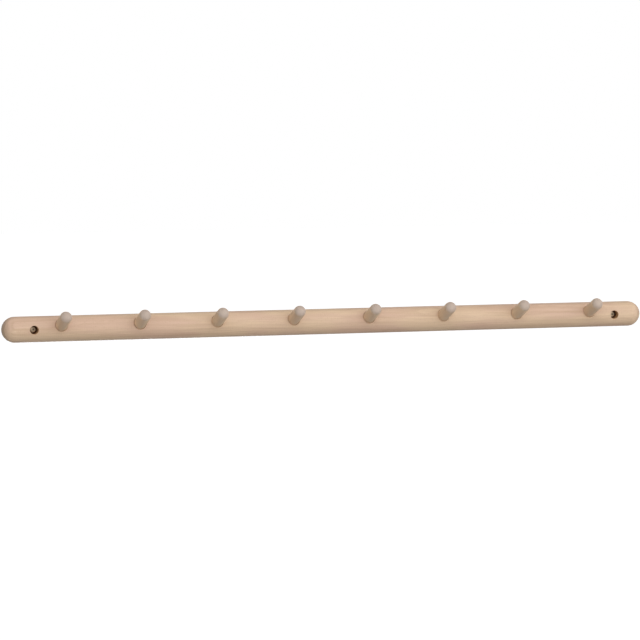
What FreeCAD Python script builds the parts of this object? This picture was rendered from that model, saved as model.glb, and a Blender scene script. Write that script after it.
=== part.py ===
import FreeCAD, Part
import math
import os

import Sketcher

# A wall coat rack: one crowned wooden rail with round ends, a row of dowel pegs
# glued into slanting sockets, and two screws sunk in counterbores.
# The wall is the plane Y = 0, the pegs point to -Y, X runs along the rail and Z is up.

doc = FreeCAD.newDocument("coat_rack")
sizes = doc.addObject("Spreadsheet::Sheet", "sizes")

# Driving dimensions, in millimetres, degrees and counts
DRIVING = (
    ("rail_length", 1000, "over both round ends"),
    ("rail_height", 38, "also the diameter of the round ends"),
    ("rail_thickness", 20, "from the wall to the top of the crown"),
    ("edge_radius", 10, "round-over between the edge and the crowned face"),
    ("crown_rise", 4, "swell of the face inside the round-over"),
    ("back_chamfer", 0.8, "around the flat back"),
    ("peg_count", 8, "pegs along the rail"),
    ("peg_diameter", 18, "dowel stock"),
    ("peg_reach", 41, "along the peg, from the front of the rail to the tip"),
    ("peg_tilt", 22.5, "degrees above level"),
    ("peg_rise", 7.5, "height of a peg's axis over the centre line, at the front"),
    ("peg_offset", 41, "from a screw to the peg beside it"),
    ("tip_flat", 2, "half width of the nearly flat middle of a peg's round tip"),
    ("tip_rise", 0.6, "swell of that middle"),
    ("root_chamfer", 1, "at the end of a peg in its socket"),
    ("socket_floor", 4, "wood left behind a socket"),
    ("glue_gap", 0.1, "between a peg and its socket"),
    ("mouth_radius", 1, "eased mouth of a socket"),
    ("screw_inset", 46, "from a screw to the end of the rail"),
    ("screw_floor", 7, "wood left under a screw head"),
    ("head_diameter", 8, "screw head"),
    ("head_height", 3.1, "screw head"),
    ("head_radius", 1.3, "round-over of the screw head"),
    ("head_rise", 0.7, "swell of the screw head inside its round-over"),
    ("head_chamfer", 0.3, "under the edge of the screw head"),
    ("head_clearance", 2.25, "counterbore around a screw head"),
    ("rim_radius", 0.6, "eased rim of a counterbore"),
    ("recess_span", 4.4, "cross recess, tip to tip"),
    ("recess_width", 1.2, "cross recess, across one arm"),
    ("recess_depth", 1.8, "cross recess"),
    ("shank_diameter", 3.2, "plain shank of a screw"),
    ("shank_past", 1, "plain shank behind the rail"),
    ("thread_diameter", 4.2, "over the thread"),
    ("thread_length", 26, "thread behind the shank"),
    ("point_length", 4, "tapered end of a screw"),
    ("hole_clearance", 0.4, "hole around the thread"),
    ("cut_past", 1, "run of a hole out past the wood"),
)

# Sizes that follow from the driving ones
DERIVED = (
    ("rail_half", "=rail_height / 2"),
    ("straight_length", "=rail_length - rail_height"),
    ("peg_radius", "=peg_diameter / 2"),
    ("tip_radius", "=peg_radius - tip_flat"),
    ("socket_radius", "=peg_radius + glue_gap"),
    ("socket_run", "=rail_thickness - socket_floor - socket_radius * sin(peg_tilt)"),
    ("socket_depth", "=socket_run / cos(peg_tilt)"),
    ("socket_cut", "=socket_depth + peg_diameter"),
    ("peg_seat", "=socket_depth - glue_gap"),
    ("peg_length", "=peg_seat + peg_reach"),
    ("screw_place", "=rail_length / 2 - screw_inset"),
    ("peg_row_half", "=screw_place - peg_offset"),
    ("peg_pitch", "=2 * peg_row_half / (peg_count - 1)"),
    ("head_half", "=head_diameter / 2"),
    ("counterbore_radius", "=head_half + head_clearance"),
    ("shank_radius", "=shank_diameter / 2"),
    ("thread_radius", "=thread_diameter / 2"),
    ("hole_radius", "=thread_radius + hole_clearance"),
    ("hole_start", "=-cut_past"),
    ("hole_end", "=rail_thickness + cut_past"),
    ("shank_end", "=-screw_floor - shank_past"),
    ("thread_end", "=shank_end - thread_length"),
    ("screw_end", "=thread_end - point_length"),
)


def fill_sheet():
    rows = [(alias, str(value), note) for alias, value, note in DRIVING]
    rows += [(alias, formula, "follows") for alias, formula in DERIVED]
    for row, (alias, text, note) in enumerate(rows, 1):
        sizes.set("A%d" % row, alias)
        sizes.set("B%d" % row, text)
        sizes.set("C%d" % row, note)
        sizes.setAlias("B%d" % row, alias)
    doc.recompute()


def size(alias):
    return float(sizes.get(alias))


def origin_feature(body, role):
    return next(f for f in body.Origin.OriginFeatures if f.Role == role)


def new_body(label):
    body = doc.addObject("PartDesign::Body", label)
    body.Label = label
    return body


def new_sketch(body, name, role):
    sketch = body.newObject("Sketcher::SketchObject", name)
    sketch.AttachmentSupport = (origin_feature(body, role), [""])
    sketch.MapMode = "FlatFace"
    return sketch


def side_sketch(body, name, place, turn, origin_y="0", origin_z="0"):
    # On the plane X = place, with the sketch's own Y axis turned from Z towards -Y
    sketch = new_sketch(body, name, "YZ_Plane")
    sketch.AttachmentOffset = FreeCAD.Placement(
        FreeCAD.Vector(), FreeCAD.Rotation(FreeCAD.Vector(0, 0, 1), 90)
    )
    sketch.setExpression("AttachmentOffset.Rotation.Angle", turn)
    sketch.setExpression("AttachmentOffset.Base.x", origin_y)
    sketch.setExpression("AttachmentOffset.Base.y", origin_z)
    sketch.setExpression("AttachmentOffset.Base.z", place)
    return sketch


def bind(sketch, constraint, name, alias):
    index = sketch.addConstraint(constraint)
    sketch.renameConstraint(index, name)
    sketch.setExpression("Constraints." + name, "sizes." + alias)


def crowned_section(sketch, half_width, height, round_over, rise, chamfer):
    # Half section of a crowned piece beside the sketch's Y axis: flat base, chamfer, straight
    # side, tangent round-over, and a tangent crown that meets the axis square
    aliases = (half_width, height, round_over, rise, chamfer)
    half, tall, edge, swell, cut = (size(alias) for alias in aliases)
    inner = half - edge
    side = tall - edge - swell
    crown = edge + (inner**2 + swell**2) / (2 * swell)
    meet = math.pi / 2 - 2 * math.atan2(swell, inner)
    normal = FreeCAD.Vector(0, 0, 1)
    turns = ((0, tall), (0, 0), (half - cut, 0), (half, cut), (half, side))
    corners = [FreeCAD.Vector(x, y, 0) for x, y in turns]
    axis, base, bevel, wall = (
        sketch.addGeometry(Part.LineSegment(start, end))
        for start, end in zip(corners, corners[1:])
    )
    edge_circle = Part.Circle(FreeCAD.Vector(inner, side, 0), normal, edge)
    edge_arc = sketch.addGeometry(Part.ArcOfCircle(edge_circle, 0, meet))
    crown_circle = Part.Circle(FreeCAD.Vector(0, tall - crown, 0), normal, crown)
    crown_arc = sketch.addGeometry(Part.ArcOfCircle(crown_circle, meet, math.pi / 2))
    sketch.addConstraint([
        Sketcher.Constraint("Coincident", axis, 2, -1, 1),
        Sketcher.Constraint("Coincident", axis, 2, base, 1),
        Sketcher.Constraint("Coincident", base, 2, bevel, 1),
        Sketcher.Constraint("Coincident", bevel, 2, wall, 1),
        Sketcher.Constraint("Coincident", crown_arc, 2, axis, 1),
        Sketcher.Constraint("Vertical", axis),
        Sketcher.Constraint("Horizontal", base),
        Sketcher.Constraint("Vertical", wall),
        Sketcher.Constraint("Tangent", wall, 2, edge_arc, 1),
        Sketcher.Constraint("Tangent", edge_arc, 2, crown_arc, 1),
        Sketcher.Constraint("PointOnObject", crown_arc, 3, -2),
    ])
    bind(sketch, Sketcher.Constraint("DistanceX", -1, 1, wall, 1, half), "half_width", half_width)
    bind(sketch, Sketcher.Constraint("DistanceX", bevel, 1, bevel, 2, cut), "chamfer_across", chamfer)
    bind(sketch, Sketcher.Constraint("DistanceY", bevel, 1, bevel, 2, cut), "chamfer_up", chamfer)
    bind(sketch, Sketcher.Constraint("DistanceY", axis, 2, axis, 1, tall), "height", height)
    bind(sketch, Sketcher.Constraint("Radius", edge_arc, edge), "round_over", round_over)
    side_index = sketch.addConstraint(Sketcher.Constraint("DistanceY", -1, 1, wall, 2, side))
    sketch.renameConstraint(side_index, "side")
    parts = ("sizes." + height, "sizes." + round_over, "sizes." + rise)
    sketch.setExpression("Constraints.side", " - ".join(parts))


def stepped_section(sketch, steps):
    # Half section of a turned piece beside the sketch's Y axis. steps are (radius, height)
    # pairs of aliases from one end to the other; None is the axis
    points = [(size(r) if r else 0.0, size(y) if y else 0.0) for r, y in steps]
    corners = [FreeCAD.Vector(x, y, 0) for x, y in points]
    lines = [
        sketch.addGeometry(Part.LineSegment(start, end))
        for start, end in zip(corners, corners[1:] + corners[:1])
    ]
    for number, line in enumerate(lines):
        following = lines[(number + 1) % len(lines)]
        sketch.addConstraint(Sketcher.Constraint("Coincident", line, 2, following, 1))
    for number, (line, (radius, height), (x, y)) in enumerate(zip(lines, steps, points)):
        if radius:
            bind(sketch, Sketcher.Constraint("DistanceX", -1, 1, line, 1, x), "radius%d" % number, radius)
        else:
            sketch.addConstraint(Sketcher.Constraint("PointOnObject", line, 1, -2))
        if height:
            bind(sketch, Sketcher.Constraint("DistanceY", -1, 1, line, 1, y), "height%d" % number, height)
        else:
            sketch.addConstraint(Sketcher.Constraint("PointOnObject", line, 1, -1))


def centred_slot(sketch, length, width):
    half_length, half_width = size(length) / 2, size(width) / 2
    signs = ((-1, -1), (1, -1), (1, 1), (-1, 1))
    corners = [FreeCAD.Vector(x * half_length, y * half_width, 0) for x, y in signs]
    bottom, right, top, left = (
        sketch.addGeometry(Part.LineSegment(start, end))
        for start, end in zip(corners, corners[1:] + corners[:1])
    )
    sketch.addConstraint([
        Sketcher.Constraint("Coincident", bottom, 2, right, 1),
        Sketcher.Constraint("Coincident", right, 2, top, 1),
        Sketcher.Constraint("Coincident", top, 2, left, 1),
        Sketcher.Constraint("Coincident", left, 2, bottom, 1),
        Sketcher.Constraint("Horizontal", bottom),
        Sketcher.Constraint("Horizontal", top),
        Sketcher.Constraint("Vertical", right),
        Sketcher.Constraint("Vertical", left),
        Sketcher.Constraint("Symmetric", bottom, 1, right, 2, -1, 1),
    ])
    bind(sketch, Sketcher.Constraint("DistanceX", bottom, 1, bottom, 2, 2 * half_length), "length", length)
    bind(sketch, Sketcher.Constraint("DistanceY", right, 1, right, 2, 2 * half_width), "width", width)


def turn(body, kind, name, sketch, angle=360):
    # Revolution or Groove about the sketch's own Y axis
    feature = body.newObject("PartDesign::" + kind, name)
    feature.Profile = sketch
    feature.ReferenceAxis = (sketch, ["V_Axis"])
    feature.Angle = angle
    body.Tip = feature
    doc.recompute()
    return feature


def mirror(body, name, original, role):
    feature = body.newObject("PartDesign::Mirrored", name)
    feature.Originals = [original]
    feature.MirrorPlane = (origin_feature(body, role), [""])
    body.Tip = feature
    doc.recompute()
    return feature


def check_cut(before, after):
    if after.Shape.Volume >= before.Shape.Volume:
        raise RuntimeError(after.Name + " cuts nothing")


RAIL_SECTION = ("rail_half", "rail_thickness", "edge_radius", "crown_rise", "back_chamfer")


def over_socket(point):
    # Distance of a point from the axis of the nearest socket, and its height over the floor
    tilt = math.radians(size("peg_tilt"))
    number = round((point.x + size("peg_row_half")) / size("peg_pitch"))
    across = point.x + size("peg_row_half") - number * size("peg_pitch")
    out = -point.y - size("rail_thickness")
    up = point.z - size("peg_rise")
    above = up * math.cos(tilt) - out * math.sin(tilt)
    along = up * math.sin(tilt) + out * math.cos(tilt)
    return math.hypot(across, above), along + size("socket_depth")


def over_counterbore(point):
    # Distance of a point from the axis of the counterbore on its side, and its height over the floor
    return math.hypot(abs(point.x) - size("screw_place"), point.z), -point.y - size("screw_floor")


def mouth_edges(shape, over_hole, radius):
    # Names of the edges where round holes break through the crowned face
    near = 0.01
    samples = 8
    names = []
    for number, edge in enumerate(shape.Edges, 1):
        points = [] if edge.Degenerated else edge.discretize(samples)
        found = [over_hole(point) for point in points]
        on_wall = all(abs(away - size(radius)) < near for away, height in found)
        off_floor = all(height > near for away, height in found)
        if found and on_wall and off_floor:
            names.append("Edge%d" % number)
    return names


def ease(body, name, base, edges, radius):
    feature = body.newObject("PartDesign::Fillet", name)
    feature.Base = (base, edges)
    feature.setExpression("Radius", "sizes." + radius)
    body.Tip = feature
    doc.recompute()
    check_cut(base, feature)
    return feature


def make_rail():
    rail = new_body("rail")
    square = "90"

    # Straight run: the upper half of the section, mirrored below the centre line
    section = side_sketch(rail, "rail_section", "0", square)
    crowned_section(section, *RAIL_SECTION)
    run = rail.newObject("PartDesign::Pad", "rail_run")
    run.Profile = section
    run.SideType = "Symmetric"
    run.setExpression("Length", "sizes.straight_length")
    doc.recompute()
    mirror(rail, "rail_lower_half", run, "XY_Plane")

    # Round ends: the same section turned half round, then mirrored to the other end
    end_section = side_sketch(rail, "end_section", "sizes.straight_length / 2", square)
    crowned_section(end_section, *RAIL_SECTION)
    end = turn(rail, "Revolution", "round_end", end_section, 180)
    end.Reversed = True
    doc.recompute()
    ends = mirror(rail, "round_ends", end, "YZ_Plane")

    # Slanting blind sockets, one for each peg
    socket_sketch = side_sketch(
        rail,
        "socket_section",
        "-sizes.peg_row_half",
        "90 - sizes.peg_tilt",
        "-sizes.rail_thickness + sizes.socket_depth * cos(sizes.peg_tilt)",
        "sizes.peg_rise - sizes.socket_depth * sin(sizes.peg_tilt)",
    )
    stepped_section(socket_sketch, (
        (None, None), ("socket_radius", None), ("socket_radius", "socket_cut"), (None, "socket_cut"),
    ))
    socket = turn(rail, "Groove", "socket", socket_sketch)
    check_cut(ends, socket)
    sockets = rail.newObject("PartDesign::LinearPattern", "sockets")
    sockets.Originals = [socket]
    sockets.Direction = (origin_feature(rail, "X_Axis"), [""])
    sockets.setExpression("Length", "2 * sizes.peg_row_half")
    sockets.setExpression("Occurrences", "sizes.peg_count")
    rail.Tip = sockets
    doc.recompute()
    check_cut(socket, sockets)
    mouths = mouth_edges(sockets.Shape, over_socket, "socket_radius")
    eased = ease(rail, "eased_mouths", sockets, mouths, "mouth_radius")

    # Counterbored screw holes, one near each end
    hole_sketch = side_sketch(rail, "hole_section", "sizes.screw_place", square)
    stepped_section(hole_sketch, (
        (None, "hole_start"),
        ("hole_radius", "hole_start"),
        ("hole_radius", "screw_floor"),
        ("counterbore_radius", "screw_floor"),
        ("counterbore_radius", "hole_end"),
        (None, "hole_end"),
    ))
    hole = turn(rail, "Groove", "screw_hole", hole_sketch)
    check_cut(eased, hole)
    holes = mirror(rail, "screw_holes", hole, "YZ_Plane")
    check_cut(hole, holes)
    rims = mouth_edges(holes.Shape, over_counterbore, "counterbore_radius")
    ease(rail, "eased_rims", holes, rims, "rim_radius")
    return rail


def stand_out(body, angle, base_x, base_y, base_z):
    # Turns the body's own Z axis towards -Y by the angle and sets it in its place
    body.Placement = FreeCAD.Placement(
        FreeCAD.Vector(), FreeCAD.Rotation(FreeCAD.Vector(1, 0, 0), 90)
    )
    body.setExpression("Placement.Rotation.Angle", angle)
    body.setExpression("Placement.Base.x", base_x)
    body.setExpression("Placement.Base.y", base_y)
    body.setExpression("Placement.Base.z", base_z)


def make_peg(number):
    # A dowel with a round tip, standing on the floor of its socket
    peg = new_body("peg_%d" % number)
    section = new_sketch(peg, "peg_section_%d" % number, "XZ_Plane")
    crowned_section(section, "peg_radius", "peg_length", "tip_radius", "tip_rise", "root_chamfer")
    turn(peg, "Revolution", "dowel_%d" % number, section)
    stand_out(
        peg,
        "90 - sizes.peg_tilt",
        "sizes.peg_pitch * %d - sizes.peg_row_half" % (number - 1),
        "-sizes.rail_thickness + sizes.peg_seat * cos(sizes.peg_tilt)",
        "sizes.peg_rise - sizes.peg_seat * sin(sizes.peg_tilt)",
    )
    return peg


def make_screw(side, place):
    # A pan head on the floor of the counterbore; the thread stands out behind the rail
    screw = new_body("screw_" + side)
    head_section = new_sketch(screw, "head_section_" + side, "XZ_Plane")
    crowned_section(head_section, "head_half", "head_height", "head_radius", "head_rise", "head_chamfer")
    turn(screw, "Revolution", "head_" + side, head_section)
    shank_section = new_sketch(screw, "shank_section_" + side, "XZ_Plane")
    stepped_section(shank_section, (
        (None, None),
        ("shank_radius", None),
        ("shank_radius", "shank_end"),
        ("thread_radius", "shank_end"),
        ("thread_radius", "thread_end"),
        (None, "screw_end"),
    ))
    shank = turn(screw, "Revolution", "shank_" + side, shank_section)

    # Cross recess: one slot in the top of the head, repeated at a right angle
    slot_sketch = new_sketch(screw, "recess_slot_" + side, "XY_Plane")
    slot_sketch.setExpression("AttachmentOffset.Base.z", "sizes.head_height")
    centred_slot(slot_sketch, "recess_span", "recess_width")
    slot = screw.newObject("PartDesign::Pocket", "slot_" + side)
    slot.Profile = slot_sketch
    slot.setExpression("Length", "sizes.recess_depth")
    screw.Tip = slot
    doc.recompute()
    check_cut(shank, slot)
    recess = screw.newObject("PartDesign::PolarPattern", "recess_" + side)
    recess.Originals = [slot]
    recess.Axis = (origin_feature(screw, "Z_Axis"), [""])
    recess.Angle = 90
    recess.Occurrences = 2
    screw.Tip = recess
    doc.recompute()
    check_cut(slot, recess)
    stand_out(screw, "90", place, "-sizes.screw_floor", "0")
    return screw


def check_and_export(pieces):
    doc.recompute()
    for item in doc.Objects:
        if "Invalid" in item.State or "Error" in item.State:
            raise RuntimeError("%s failed: %s" % (item.Name, item.State))
    for piece in pieces:
        shape = piece.Shape
        if shape.isNull() or not shape.isValid() or len(shape.Solids) != 1:
            raise RuntimeError(piece.Label + " is not one valid solid")
    os.makedirs("parts", exist_ok=True)
    for piece in pieces:
        piece.Shape.exportStep("parts/%s.step" % piece.Label)
        print(piece.Label, "%.1f mm3" % piece.Shape.Volume, piece.Shape.BoundBox)


fill_sheet()
pieces = [make_rail()]
pieces += [make_peg(number) for number in range(1, int(size("peg_count")) + 1)]
pieces += [make_screw("left", "-sizes.screw_place"), make_screw("right", "sizes.screw_place")]
check_and_export(pieces)
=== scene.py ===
import math

import bmesh
import bpy
from mathutils import Matrix, Vector


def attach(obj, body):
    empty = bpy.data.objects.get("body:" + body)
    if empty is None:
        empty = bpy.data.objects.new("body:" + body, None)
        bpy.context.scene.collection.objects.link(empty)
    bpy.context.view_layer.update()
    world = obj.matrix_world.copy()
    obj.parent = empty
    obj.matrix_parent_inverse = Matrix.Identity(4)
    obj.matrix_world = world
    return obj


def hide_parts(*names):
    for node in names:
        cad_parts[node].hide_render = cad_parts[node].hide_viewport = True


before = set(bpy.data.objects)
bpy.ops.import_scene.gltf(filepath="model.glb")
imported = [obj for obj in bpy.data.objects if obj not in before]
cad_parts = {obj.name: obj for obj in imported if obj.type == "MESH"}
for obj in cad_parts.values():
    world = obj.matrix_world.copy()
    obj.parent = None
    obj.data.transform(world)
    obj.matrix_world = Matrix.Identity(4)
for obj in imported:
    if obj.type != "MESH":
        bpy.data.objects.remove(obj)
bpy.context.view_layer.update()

millimetre = 0.001


def boxOf(name):
    # lowest and highest corner of a CAD piece
    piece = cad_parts[name]
    points = [piece.matrix_world @ vertex.co for vertex in piece.data.vertices]
    low = Vector([min(point[axis] for point in points) for axis in range(3)])
    high = Vector([max(point[axis] for point in points) for axis in range(3)])
    return low, high


pegNames = sorted(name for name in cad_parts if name.startswith("peg_"))
screwNames = sorted(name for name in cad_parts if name.startswith("screw_"))
pegPlaces = [(low.x + high.x) / 2 for low, high in map(boxOf, pegNames)]
screwPlaces = [(low.x + high.x) / 2 for low, high in map(boxOf, screwNames)]
pegRadius = (boxOf(pegNames[0])[1].x - boxOf(pegNames[0])[0].x) / 2
railFront = boxOf("rail")[0].y
print("frame loaded:", len(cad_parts), "pieces")


def srgb(red, green, blue):
    # a colour as it is picked off a screen, 0 to 255, for a shader socket
    def linear(level):
        level /= 255
        return level / 12.92 if level <= 0.04045 else ((level + 0.055) / 1.055) ** 2.4
    return linear(red), linear(green), linear(blue), 1.0


# Small helpers for shader trees
def addNode(tree, kind, **settings):
    node = tree.nodes.new("ShaderNode" + kind)
    for name, value in settings.items():
        setattr(node, name, value)
    return node


def feed(tree, socket, value):
    if isinstance(value, bpy.types.NodeSocket):
        tree.links.new(value, socket)
    else:
        socket.default_value = value


def compute(tree, operation, first, second=0.0, third=0.0, clamp=False):
    node = addNode(tree, "Math", operation=operation, use_clamp=clamp)
    for index, value in enumerate((first, second, third)):
        feed(tree, node.inputs[index], value)
    return node.outputs[0]


def vectorCompute(tree, operation, first, second=(0, 0, 0)):
    node = addNode(tree, "VectorMath", operation=operation)
    feed(tree, node.inputs[0], first)
    feed(tree, node.inputs[1], second)
    return node.outputs["Value" if operation == "DOT_PRODUCT" else "Vector"]


def fade(tree, value, low, high, toLow=0.0, toHigh=1.0):
    # smooth step from low to high
    node = addNode(tree, "MapRange", interpolation_type="SMOOTHSTEP")
    for index, item in enumerate((value, low, high, toLow, toHigh)):
        feed(tree, node.inputs[index], item)
    return node.outputs[0]


def mixColour(tree, factor, first, second):
    node = addNode(tree, "Mix", data_type="RGBA")
    feed(tree, node.inputs["Factor"], factor)
    feed(tree, node.inputs[6], first)
    feed(tree, node.inputs[7], second)
    return node.outputs[2]


def noise(tree, vector, scale, detail=2.0, roughness=0.5):
    node = addNode(tree, "TexNoise")
    feed(tree, node.inputs["Vector"], vectorCompute(tree, "MULTIPLY", vector, scale))
    node.inputs["Scale"].default_value = 1.0
    node.inputs["Detail"].default_value = detail
    node.inputs["Roughness"].default_value = roughness
    return node


def separate(tree, vector):
    node = addNode(tree, "SeparateXYZ")
    feed(tree, node.inputs[0], vector)
    return node.outputs


def hypotenuse(tree, first, second):
    # from the zero point of two lengths at right angles
    square = compute(tree, "MULTIPLY", second, second)
    return compute(tree, "SQRT", compute(tree, "MULTIPLY_ADD", first, first, square))


def newGroup(name, inputs, outputs):
    tree = bpy.data.node_groups.new(name, "ShaderNodeTree")
    for socketName, kind, value in inputs:
        socket = tree.interface.new_socket(socketName, in_out="INPUT", socket_type="NodeSocket" + kind)
        if value is not None:
            socket.default_value = value
    for socketName, kind in outputs:
        tree.interface.new_socket(socketName, in_out="OUTPUT", socket_type="NodeSocket" + kind)
    return tree, tree.nodes.new("NodeGroupInput"), tree.nodes.new("NodeGroupOutput")


def placeGroup(tree, group, **values):
    node = addNode(tree, "Group", node_tree=group)
    for name, value in values.items():
        feed(tree, node.inputs[name], value)
    return node


def newMaterial(name):
    material = bpy.data.materials.new(name)
    material.use_nodes = True
    return material, material.node_tree, material.node_tree.nodes["Principled BSDF"]


def bumpFrom(tree, height, strength, depth):
    bump = addNode(tree, "Bump")
    bump.inputs["Strength"].default_value = strength
    bump.inputs["Distance"].default_value = depth
    feed(tree, bump.inputs["Height"], height)
    return bump.outputs["Normal"]


def wear(piece, material):
    piece.data.materials.clear()
    piece.data.materials.append(material)


# Beech: pale pinkish wood with soft bands, fine fibres and short dark rays along the grain
beech = {
    "pale": srgb(222, 194, 164),
    "blush": srgb(216, 184, 160),
    "line": srgb(176, 140, 112),
    "ringSpacing": 2.6 * millimetre,
    "wander": 7 * millimetre,
    "rayLength": 3.2 * millimetre,
    "rayWidth": 0.45 * millimetre,
    "ringStrength": 0.2,
    "streakStrength": 0.3,
    "fibreStrength": 0.2,
    "rayStrength": 0.35,
    # how often each pattern changes per metre, along the grain and across it
    "bendRate": (2.4, 14, 14),
    "faintRate": (6, 70, 70),
    "fibreRate": (16, 900, 900),
    "streakRate": (5, 150, 150),
    "patchRate": (9, 40, 40),
    "smoothest": 0.42,
    "fibreRoughness": 0.22,
    "rayHollow": 0.5,
}


def makeBeechFigure():
    waveTurn = 2 * math.pi / 20  # the wave texture repeats after this length at scale 1
    tree, given, result = newGroup(
        "beechFigure",
        [("Vector", "Vector", None), ("Pale", "Color", beech["pale"]), ("Blush", "Color", beech["blush"]),
         ("Line", "Color", beech["line"])],
        [("Color", "Color"), ("Roughness", "Float"), ("Height", "Float")],
    )
    grain = given.outputs["Vector"]  # X runs along the grain

    # slow bends of the grain
    bend = noise(tree, grain, beech["bendRate"])
    sway = vectorCompute(tree, "SUBTRACT", bend.outputs["Color"], (0.5, 0.5, 0.5))
    reach = 2 * beech["wander"]
    bent = vectorCompute(tree, "ADD", grain, vectorCompute(tree, "MULTIPLY", sway, (0, reach, reach)))

    # growth rings round the grain axis, dark at their outer edge and fainter in places
    rings = addNode(tree, "TexWave", wave_type="RINGS", rings_direction="X", wave_profile="SAW")
    feed(tree, rings.inputs["Vector"], bent)
    rings.inputs["Scale"].default_value = waveTurn / beech["ringSpacing"]
    rings.inputs["Distortion"].default_value = 1.6
    rings.inputs["Detail"].default_value = 2.0
    rings.inputs["Detail Scale"].default_value = 0.4
    late = fade(tree, rings.outputs["Fac"], 0.35, 0.95)
    faint = noise(tree, bent, beech["faintRate"]).outputs["Fac"]
    late = compute(tree, "MULTIPLY", late, fade(tree, faint, 0.35, 0.65, 0.25, 1.0))

    fibre = noise(tree, bent, beech["fibreRate"], 5.0, 0.6).outputs["Fac"]
    streak = noise(tree, bent, beech["streakRate"], 3.0).outputs["Fac"]
    patch = noise(tree, grain, beech["patchRate"]).outputs["Fac"]

    # rays: short lens-shaped dashes, some left out
    rays = addNode(tree, "TexVoronoi", feature="F1")
    cell = (1 / beech["rayLength"], 1 / beech["rayWidth"], 1 / beech["rayWidth"])
    feed(tree, rays.inputs["Vector"], vectorCompute(tree, "MULTIPLY", bent, cell))
    rays.inputs["Scale"].default_value = 1.0
    dash = fade(tree, rays.outputs["Distance"], 0.42, 0.2)
    split = addNode(tree, "SeparateColor")
    feed(tree, split.inputs[0], rays.outputs["Color"])
    dash = compute(tree, "MULTIPLY", dash, fade(tree, split.outputs[0], 0.35, 0.75))

    colour = mixColour(tree, fade(tree, patch, 0.38, 0.62), given.outputs["Pale"], given.outputs["Blush"])
    marks = (
        (late, beech["ringStrength"]),
        (fade(tree, streak, 0.45, 0.75), beech["streakStrength"]),
        (fade(tree, fibre, 0.4, 0.75), beech["fibreStrength"]),
        (dash, beech["rayStrength"]),
    )
    for mask, strength in marks:
        colour = mixColour(tree, compute(tree, "MULTIPLY", mask, strength), colour, given.outputs["Line"])
    feed(tree, result.inputs["Color"], colour)
    roughness = compute(tree, "MULTIPLY_ADD", fibre, beech["fibreRoughness"], beech["smoothest"])
    feed(tree, result.inputs["Roughness"], roughness)
    hollow = compute(tree, "MULTIPLY", dash, beech["rayHollow"])
    feed(tree, result.inputs["Height"], compute(tree, "SUBTRACT", fibre, hollow))
    return tree


# End grain: darker and greyer, with fine pores, wherever the surface cuts across the fibres
endGrain = {
    "colour": srgb(160, 136, 114),
    "pore": srgb(112, 88, 70),
    "poreSpacing": 0.35 * millimetre,
    "poreRate": 60,
    "poreStrength": 0.35,
    "woodShare": 0.35,
    # how squarely the surface meets the fibres where end grain starts and where it is complete
    "from": 0.35,
    "to": 0.92,
}


def makeEndGrain():
    tree, given, result = newGroup(
        "endGrain",
        [("Vector", "Vector", None), ("Wood", "Color", beech["pale"]), ("Facing", "Float", 0.0),
         ("From", "Float", endGrain["from"]), ("To", "Float", endGrain["to"]),
         ("End", "Color", endGrain["colour"])],
        [("Color", "Color")],
    )
    mask = fade(tree, given.outputs["Facing"], given.outputs["From"], given.outputs["To"])
    across = 1 / endGrain["poreSpacing"]
    spread = vectorCompute(tree, "MULTIPLY", given.outputs["Vector"], (endGrain["poreRate"], across, across))
    pores = addNode(tree, "TexVoronoi", feature="F1")
    feed(tree, pores.inputs["Vector"], spread)
    pores.inputs["Scale"].default_value = 1.0
    pore = fade(tree, pores.outputs["Distance"], 0.45, 0.2, 0.0, endGrain["poreStrength"])
    cut = mixColour(tree, pore, given.outputs["End"], endGrain["pore"])
    cut = mixColour(tree, endGrain["woodShare"], cut, given.outputs["Wood"])
    feed(tree, result.inputs["Color"], mixColour(tree, mask, given.outputs["Wood"], cut))
    return tree


beechFigure = makeBeechFigure()
endGrainFigure = makeEndGrain()


def grainVector(tree, turn, pith):
    # object coordinates turned so that X runs along the grain, with the pith off to one side
    coordinates = addNode(tree, "TexCoord")
    mapping = addNode(tree, "Mapping", vector_type="TEXTURE")
    feed(tree, mapping.inputs["Vector"], coordinates.outputs["Object"])
    mapping.inputs["Location"].default_value = pith
    mapping.inputs["Rotation"].default_value = turn
    return coordinates, mapping.outputs["Vector"]


# Pegs: the grain follows each dowel, and the tips show end grain
peg = {
    "tilt": math.radians(22.5),
    "rise": 7.5 * millimetre,
    "pithStep": (0.031, 0.011, 0.007),
    "pale": srgb(246, 214, 177),
    "blush": srgb(242, 208, 173),
    "line": srgb(223, 187, 150),
    "tip": srgb(153, 149, 152),
    "tipFrom": -0.15,
    "tipTo": 0.85,
    "bumpDepth": 0.1 * millimetre,
    "bumpStrength": 0.4,
    "gloss": 0.3,
}
pegAxis = Vector((0, -math.cos(peg["tilt"]), math.sin(peg["tilt"])))


def makePegWood(number):
    material, tree, shader = newMaterial("pegBeech" + str(number))
    turn = Matrix.Rotation(-math.pi / 2, 3, "Z") @ Matrix.Rotation(-peg["tilt"], 3, "Y")
    pith = Vector(peg["pithStep"]) * (number + 1)
    coordinates, grain = grainVector(tree, turn.to_euler(), pith)
    figure = placeGroup(tree, beechFigure, Vector=grain, Pale=peg["pale"], Blush=peg["blush"],
                        Line=peg["line"])
    facing = vectorCompute(tree, "DOT_PRODUCT", coordinates.outputs["Normal"], pegAxis)
    ends = placeGroup(tree, endGrainFigure, Vector=grain, Wood=figure.outputs["Color"], Facing=facing,
                      From=peg["tipFrom"], To=peg["tipTo"], End=peg["tip"])
    feed(tree, shader.inputs["Base Color"], ends.outputs["Color"])
    feed(tree, shader.inputs["Roughness"], figure.outputs["Roughness"])
    normal = bumpFrom(tree, figure.outputs["Height"], peg["bumpStrength"], peg["bumpDepth"])
    feed(tree, shader.inputs["Normal"], normal)
    shader.inputs["Specular IOR Level"].default_value = peg["gloss"]
    return material


for number, name in enumerate(pegNames):
    wear(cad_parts[name], makePegWood(number))
print("pegs finished:", len(pegNames))

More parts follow.
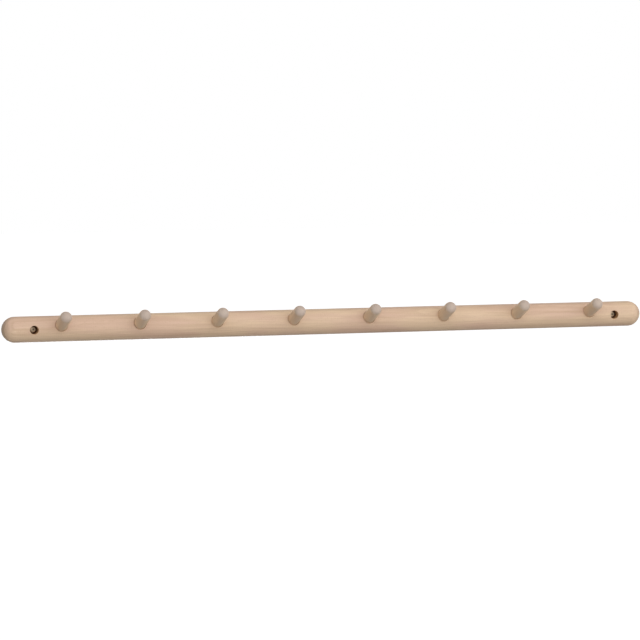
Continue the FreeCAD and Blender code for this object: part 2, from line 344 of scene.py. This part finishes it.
# Rail: the grain follows its length, and the pith of the tree lies behind and below it
rail = {
    "pith": (0.0, 0.055, -0.035),
    "slope": (0.0, math.radians(1.1), math.radians(-0.8)),
    "bumpDepth": 0.12 * millimetre,
    "bumpStrength": 0.4,
    "gloss": 0.3,
    # glue line with painted shade of the joint round the foot of every peg
    "glueAndShade": srgb(104, 76, 54),
    "glueAndShadeWidth": 0.6 * millimetre,
    "glueAndShadeDepth": 6 * millimetre,
    # inside the counterbores: drilled wood darkened by painted shade, and darker painted shade towards the
    # floor
    "drilledWithShade": srgb(182, 142, 102),
    "boreFloorShade": srgb(72, 40, 16),
    "boreRadius": 6.25 * millimetre,
    "rimRadius": 0.6 * millimetre,
    "boreShadeFrom": 7 * millimetre,
    "boreShadeTo": 12 * millimetre,
    "boreShadeRate": (300, 300, 300),
    "backRim": 0.5 * millimetre,
}


def makeGlueAndShadeMask(tree, point):
    # a thin ring on the face round the foot of every peg, a glue line with painted shade of the joint: fold
    # the row onto one peg, measure from its axis
    x, y, z = separate(tree, point)
    pitch = pegPlaces[1] - pegPlaces[0]
    row = compute(tree, "SUBTRACT", x, pegPlaces[0] - pitch / 2)
    across = compute(tree, "SUBTRACT", compute(tree, "FLOORED_MODULO", row, pitch), pitch / 2)
    outward = compute(tree, "MULTIPLY", compute(tree, "SUBTRACT", y, railFront), math.sin(peg["tilt"]))
    upward = compute(tree, "SUBTRACT", z, peg["rise"])
    above = compute(tree, "MULTIPLY_ADD", upward, math.cos(peg["tilt"]), outward)
    away = hypotenuse(tree, across, above)
    ring = fade(tree, away, pegRadius + rail["glueAndShadeWidth"], pegRadius)
    onFace = fade(tree, y, railFront + 2 * rail["glueAndShadeDepth"], railFront + rail["glueAndShadeDepth"])
    return compute(tree, "MULTIPLY", ring, onFace)


def fromScrewAxis(tree, point):
    # both screws at once: the left half is folded onto the right half
    x, y, z = separate(tree, point)
    across = compute(tree, "SUBTRACT", compute(tree, "ABSOLUTE", x), abs(screwPlaces[0]))
    return hypotenuse(tree, across, z)


def boreColour(tree, point, colour):
    # inside the counterbores, from just under their eased rims: drilled wood darkened by painted shade,
    # which deepens towards the floor
    y = separate(tree, point)[1]
    near = fade(tree, fromScrewAxis(tree, point), rail["boreRadius"] + rail["rimRadius"], rail["boreRadius"])
    offBack = fade(tree, y, -0.4 * rail["backRim"], -rail["backRim"])
    inside = compute(tree, "MULTIPLY", near, offBack)
    # painted shade deepens, in blotches, towards the floor of the bore
    deep = fade(tree, y, railFront + rail["boreShadeFrom"], railFront + rail["boreShadeTo"])
    shadeBlotch = noise(tree, point, rail["boreShadeRate"]).outputs["Fac"]
    deep = compute(tree, "MULTIPLY", deep, fade(tree, shadeBlotch, 0.3, 0.6, 0.6, 1.0))
    drilledWithShade = mixColour(tree, deep, rail["drilledWithShade"], rail["boreFloorShade"])
    return mixColour(tree, inside, colour, drilledWithShade)


def makeRailWood():
    material, tree, shader = newMaterial("railBeech")
    coordinates, grain = grainVector(tree, rail["slope"], rail["pith"])
    figure = placeGroup(tree, beechFigure, Vector=grain)
    along = separate(tree, coordinates.outputs["Normal"])[0]
    facing = compute(tree, "ABSOLUTE", along)
    ends = placeGroup(tree, endGrainFigure, Vector=grain, Wood=figure.outputs["Color"], Facing=facing)
    point = coordinates.outputs["Object"]
    # glue line with painted shade round the feet of the pegs
    colour = mixColour(tree, makeGlueAndShadeMask(tree, point), ends.outputs["Color"], rail["glueAndShade"])
    colour = boreColour(tree, point, colour)
    feed(tree, shader.inputs["Base Color"], colour)
    feed(tree, shader.inputs["Roughness"], figure.outputs["Roughness"])
    normal = bumpFrom(tree, figure.outputs["Height"], rail["bumpStrength"], rail["bumpDepth"])
    feed(tree, shader.inputs["Normal"], normal)
    shader.inputs["Specular IOR Level"].default_value = rail["gloss"]
    return material


wear(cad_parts["rail"], makeRailWood())
print("rail finished")

# Screws: pan heads with a cross recess, a plain shank, and a thread that runs out on the point
screw = {
    "headRadius": 4 * millimetre,
    "headHeight": 3.1 * millimetre,
    "headEdge": 1.3 * millimetre,
    "headRing": 3 * millimetre,
    "domeDrop": 0.7 * millimetre,
    "recessReach": 2.2 * millimetre,
    "recessWidth": 1.2 * millimetre,
    "recessCorner": 1.0 * millimetre,
    "recessDepth": 1.8 * millimetre,
    "recessTaper": 0.5,
    "shankRadius": 1.6 * millimetre,
    "shankEnd": 1 * millimetre,
    "coreRadius": 1.35 * millimetre,
    "threadRadius": 2.1 * millimetre,
    "threadPitch": 2 * millimetre,
    "ridgeFrom": 0.5,
    "crestFrom": 0.74,
    "crestTo": 0.8,
    "pointLength": 4 * millimetre,
    "segments": 48,
    "weld": 0.005 * millimetre,
    "sharpFrom": math.radians(35),
    "steel": srgb(180, 177, 172),
    "shade": srgb(120, 116, 110),
    "head": srgb(240, 226, 200),
    # painted shade in the cross recess
    "recessShade": srgb(110, 96, 80),
    "yellowing": 0.8,
    "recessShadeFrom": 0.5 * millimetre,
    "softEdge": 0.2 * millimetre,
    "turnedSpacing": 0.12 * millimetre,
    "turnedStrength": 0.2,
    "scuffRate": (900, 900, 2600),
    "grimeRate": (900, 900, 900),
    # painted shade between the thread's ridges
    "grooveStrength": 0.6,
    "smoothest": 0.55,
    "scuffRoughness": 0.3,
    "bumpStrength": 0.3,
    "bumpDepth": 0.02 * millimetre,
}


def turned(shape, profile):
    # spins (radius, height) points round the Y axis and closes the pole
    verts = [shape.verts.new((radius, height, 0)) for radius, height in profile]
    edges = [shape.edges.new(pair) for pair in zip(verts, verts[1:])]
    bmesh.ops.spin(shape, geom=verts + edges, cent=(0, 0, 0), axis=(0, 1, 0), dvec=(0, 0, 0),
                   angle=2 * math.pi, steps=screw["segments"], use_merge=True)
    bmesh.ops.remove_doubles(shape, verts=shape.verts, dist=screw["weld"])


def domeTop(radius):
    # how far the top of the head has dropped at this radius
    flat = screw["headRadius"] - screw["headEdge"]
    curve = screw["headEdge"] + (flat ** 2 + screw["domeDrop"] ** 2) / (2 * screw["domeDrop"])
    return curve - math.sqrt(curve ** 2 - radius ** 2)


def makeHeadAndShank(shape, seat, top):
    # from the ring that the recess sits in, over the edge of the head and down the plain shank
    steps = 8
    ring = screw["headRing"]
    flat = screw["headRadius"] - screw["headEdge"]
    start = 2 * math.atan2(screw["domeDrop"], flat)
    edgeCentre = top + screw["headEdge"] + screw["domeDrop"]
    corner = [start + (math.pi / 2 - start) * step / steps for step in range(steps + 1)]
    edge = [(flat + screw["headEdge"] * math.sin(turn), edgeCentre - screw["headEdge"] * math.cos(turn))
            for turn in corner]
    shank = [(screw["shankRadius"], seat), (screw["shankRadius"], screw["shankEnd"]), (0, screw["shankEnd"])]
    turned(shape, [(ring, top + domeTop(ring))] + edge + [(screw["headRadius"], seat)] + shank)


def crossOutline(scale):
    # round-ended arms of the recess, one point after the other
    half = screw["recessWidth"] / 2
    reach = screw["recessReach"] - half
    steps = 6
    points = []
    for arm in range(4):
        turn = Matrix.Rotation(arm * math.pi / 2, 2)
        for step in range(steps + 1):
            angle = math.pi * (step / steps - 0.5)
            points.append(turn @ Vector((reach + half * math.cos(angle), half * math.sin(angle))))
        points.append(turn @ Vector((screw["recessCorner"], screw["recessCorner"])))
    return [point * scale for point in points]


def makeRecess(shape, top):
    # bridges the ring of the head to the mouth of the recess, then tapers down to its floor
    rim = [edge for edge in shape.edges if edge.is_boundary]
    mouth = [shape.verts.new((p.x, top + domeTop(p.length), p.y)) for p in crossOutline(1.0)]
    loop = [shape.edges.new(pair) for pair in zip(mouth, mouth[1:] + mouth[:1])]
    bmesh.ops.bridge_loops(shape, edges=rim + loop)
    floor = [shape.verts.new((p.x, top + screw["recessDepth"], p.y))
             for p in crossOutline(screw["recessTaper"])]
    floorLoop = [shape.edges.new(pair) for pair in zip(floor, floor[1:] + floor[:1])]
    bmesh.ops.bridge_loops(shape, edges=loop + floorLoop)
    bmesh.ops.triangle_fill(shape, edges=floorLoop, use_beauty=True)


def makeThread(shape, start, end):
    # one turn of core and ridge, swept along a helix from inside the shank to past the point;
    # the ridge grows in where the shank ends, and both ends are drawn in to the axis
    pitch = screw["threadPitch"]
    core, crest = screw["coreRadius"], screw["threadRadius"]
    steps = screw["segments"]
    root = start - pitch
    turns = math.ceil((end - root) / pitch) + 1
    ridge = ((core, 0), (core, screw["ridgeFrom"]), (crest, screw["crestFrom"]), (crest, screw["crestTo"]),
             (core, 1))
    verts = [shape.verts.new((radius, root + (height - 1) * pitch, 0)) for radius, height in ridge]
    edges = [shape.edges.new(pair) for pair in zip(verts, verts[1:])]
    before = set(shape.verts) - set(verts)
    bmesh.ops.spin(shape, geom=verts + edges, cent=(0, 0, 0), axis=(0, 1, 0), dvec=(0, pitch / steps, 0),
                   angle=2 * math.pi * turns, steps=steps * turns)
    for vertex in set(shape.verts) - before:
        radius = math.hypot(vertex.co.x, vertex.co.z)
        y = min(max(vertex.co.y, root), end)
        growing = min(max((y - start) / pitch, 0), 1)
        drawnIn = min((y - root) / pitch, 1) * min((end - y) / screw["pointLength"], 1)
        scale = (core + (radius - core) * growing) * drawnIn / radius
        vertex.co = (vertex.co.x * scale, y, vertex.co.z * scale)


def makeScrewSteel():
    # turned steel: fine rings round the axis, scratches, patches of darker steel, and painted shade between
    # the thread's ridges and in the recess
    material, tree, shader = newMaterial("screwSteel")
    point = addNode(tree, "TexCoord").outputs["Object"]
    y = separate(tree, point)[1]
    away = fromScrewAxis(tree, point)
    turnedAngle = compute(tree, "MULTIPLY", away, 2 * math.pi / screw["turnedSpacing"])
    turnedLines = compute(tree, "SINE", turnedAngle)
    scuffs = noise(tree, point, screw["scuffRate"], 4.0, 0.6).outputs["Fac"]
    grime = noise(tree, point, screw["grimeRate"], 3.0).outputs["Fac"]
    colour = mixColour(tree, fade(tree, grime, 0.4, 0.7), screw["steel"], screw["shade"])
    # painted shade: the thread is darker between its ridges
    between = fade(tree, away, screw["threadRadius"], screw["coreRadius"], 0.0, screw["grooveStrength"])
    onThread = fade(tree, y, screw["shankEnd"], screw["shankEnd"] + screw["threadPitch"])
    colour = mixColour(tree, compute(tree, "MULTIPLY", between, onThread), colour, screw["shade"])
    # the heads are paler and yellower than the shanks
    headTop = boxOf(screwNames[0])[0].y
    seat = headTop + screw["headHeight"]
    soft = screw["softEdge"]
    onHead = fade(tree, y, seat + soft, seat, 0.0, screw["yellowing"])
    colour = mixColour(tree, onHead, colour, screw["head"])
    # painted shade, darker towards the floor of the recess
    recessFloor = headTop + screw["recessDepth"]
    deep = fade(tree, y, headTop + screw["recessShadeFrom"], recessFloor)
    inHead = fade(tree, y, recessFloor + 3 * soft, recessFloor + soft)
    nearAxis = fade(tree, away, screw["recessReach"] + 1.5 * soft, screw["recessReach"] - 0.5 * soft)
    inRecess = compute(tree, "MULTIPLY", compute(tree, "MULTIPLY", deep, inHead), nearAxis)
    colour = mixColour(tree, inRecess, colour, screw["recessShade"])
    feed(tree, shader.inputs["Base Color"], colour)
    roughness = compute(tree, "MULTIPLY_ADD", scuffs, screw["scuffRoughness"], screw["smoothest"])
    feed(tree, shader.inputs["Roughness"], roughness)
    height = compute(tree, "MULTIPLY_ADD", turnedLines, screw["turnedStrength"], scuffs)
    feed(tree, shader.inputs["Normal"], bumpFrom(tree, height, screw["bumpStrength"], screw["bumpDepth"]))
    shader.inputs["Metallic"].default_value = 1.0
    return material


def makeScrew(name, place, material):
    low, high = boxOf(name)
    seat = low.y + screw["headHeight"]
    shape = bmesh.new()
    makeHeadAndShank(shape, seat, low.y)
    makeRecess(shape, low.y)
    makeThread(shape, screw["shankEnd"], high.y)
    bmesh.ops.remove_doubles(shape, verts=shape.verts, dist=screw["weld"])
    bmesh.ops.recalc_face_normals(shape, faces=shape.faces)
    bmesh.ops.translate(shape, verts=shape.verts, vec=(place, 0, 0))
    mesh = bpy.data.meshes.new(name + "_steel")
    shape.to_mesh(mesh)
    shape.free()
    mesh.shade_smooth()
    mesh.set_sharp_from_angle(angle=screw["sharpFrom"])
    piece = bpy.data.objects.new(name + "_steel", mesh)
    bpy.context.scene.collection.objects.link(piece)
    wear(piece, material)
    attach(piece, "root")
    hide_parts(name)


screwSteel = makeScrewSteel()
for name, place in zip(screwNames, screwPlaces):
    makeScrew(name, place, screwSteel)
print("screws finished:", len(screwNames))

# Light and stage: white surroundings, large soft lamps round the front, and one behind for the flat back
light = {
    "lamps": (
        {"name": "keyLamp", "turn": 0, "rise": 35, "distance": 4.0, "size": 3.0, "level": 0.48},
        {"name": "leftLamp", "turn": -46, "rise": 12, "distance": 4.0, "size": 3.5, "level": 0.32},
        {"name": "frontLamp", "turn": 25, "rise": 0, "distance": 4.0, "size": 2.5, "level": 0.24},
        {"name": "rightLamp", "turn": 64, "rise": 22, "distance": 4.0, "size": 3.5, "level": 0.36},
        {"name": "backLamp", "turn": 180, "rise": -18, "distance": 2.0, "size": 0.8, "level": 0.5},
    ),
    "skyAbove": 0.1,
    "skyBelow": 0.0,
    "skyFrom": -0.3,
    "skyTo": 0.4,
    "floorHeight": -1.2,
    "floorSize": 40.0,
    "floorColour": (0.22, 0.22, 0.22, 1),
    "floorGlow": 0.97,
}


def towards(turn, rise):
    # direction from the rack: turn to the right of straight ahead, rise above level
    return Vector((math.sin(turn) * math.cos(rise), -math.cos(turn) * math.cos(rise), math.sin(rise)))


def addLamp(name, turn, rise, distance, size, level):
    # at level 1 a white surface that faces the lamp is white in the picture
    lamp = bpy.data.lights.new(name, "AREA")
    lamp.size = size
    lamp.energy = level * (math.pi * distance) ** 2
    holder = bpy.data.objects.new(name, lamp)
    holder.location = towards(math.radians(turn), math.radians(rise)) * distance
    holder.rotation_euler = (-holder.location).to_track_quat("-Z", "Y").to_euler()
    bpy.context.scene.collection.objects.link(holder)


def seenDirectly(tree):
    # 1 for what the camera, a reflection or a clear surface sees
    path = addNode(tree, "LightPath")
    seen = compute(tree, "ADD", path.outputs["Is Camera Ray"], path.outputs["Is Glossy Ray"])
    return compute(tree, "ADD", seen, path.outputs["Is Transmission Ray"], clamp=True)


def makeWorld():
    # white where it is seen; as a light, brighter from above than from below
    world = bpy.data.worlds.new("whiteRoom")
    world.use_nodes = True
    tree = world.node_tree
    background = tree.nodes["Background"]
    background.inputs["Color"].default_value = (1, 1, 1, 1)
    height = separate(tree, addNode(tree, "TexCoord").outputs["Generated"])[2]
    sky = fade(tree, height, light["skyFrom"], light["skyTo"], light["skyBelow"], light["skyAbove"])
    feed(tree, background.inputs["Strength"], fade(tree, seenDirectly(tree), 0.0, 1.0, sky, 1.0))
    bpy.context.scene.world = world


def makeFloor():
    mesh = bpy.data.meshes.new("floor")
    shape = bmesh.new()
    bmesh.ops.create_grid(shape, x_segments=1, y_segments=1, size=light["floorSize"] / 2)
    bmesh.ops.translate(shape, verts=shape.verts, vec=(0, 0, light["floorHeight"]))
    shape.to_mesh(mesh)
    shape.free()
    floor = bpy.data.objects.new("floor", mesh)
    bpy.context.scene.collection.objects.link(floor)
    material, tree, shader = newMaterial("paleFloor")
    shader.inputs["Base Color"].default_value = light["floorColour"]
    shader.inputs["Roughness"].default_value = 0.9
    glow = addNode(tree, "Emission")
    feed(tree, glow.inputs["Strength"], compute(tree, "MULTIPLY", seenDirectly(tree), light["floorGlow"]))
    both = addNode(tree, "AddShader")
    tree.links.new(shader.outputs[0], both.inputs[0])
    tree.links.new(glow.outputs[0], both.inputs[1])
    tree.links.new(both.outputs[0], tree.nodes["Material Output"].inputs["Surface"])
    wear(floor, material)


for lamp in light["lamps"]:
    addLamp(**lamp)
makeWorld()
makeFloor()
bpy.context.scene.view_settings.view_transform = "Standard"
print("stage lit")

# Camera: to the left of the rail and a little above it, with a long lens
view = {
    "azimuth": math.radians(-15.97),
    "elevation": math.radians(5.41),
    "distance": 4.641,
    "focalPixels": 3069.8,
    "imagePixels": 640,
    "originPixel": (328.55, 321.08),
}


def addCamera():
    camera = bpy.data.cameras.new("camera")
    camera.sensor_width = 36  # millimetres, as the lens
    camera.lens = view["focalPixels"] / view["imagePixels"] * camera.sensor_width
    centre = view["imagePixels"] / 2
    back = towards(view["azimuth"], view["elevation"])
    right = Vector((math.cos(view["azimuth"]), math.sin(view["azimuth"]), 0))
    up = back.cross(right)
    # the point that falls in the middle of the picture
    perPixel = view["distance"] / view["focalPixels"]
    across, down = (pixel - centre for pixel in view["originPixel"])
    aim = (up * down - right * across) * perPixel
    holder = bpy.data.objects.new("camera", camera)
    holder.location = back * view["distance"]
    holder.rotation_euler = (aim - holder.location).to_track_quat("-Z", "Y").to_euler()
    bpy.context.scene.collection.objects.link(holder)
    bpy.context.scene.camera = holder


addCamera()
print("camera placed")
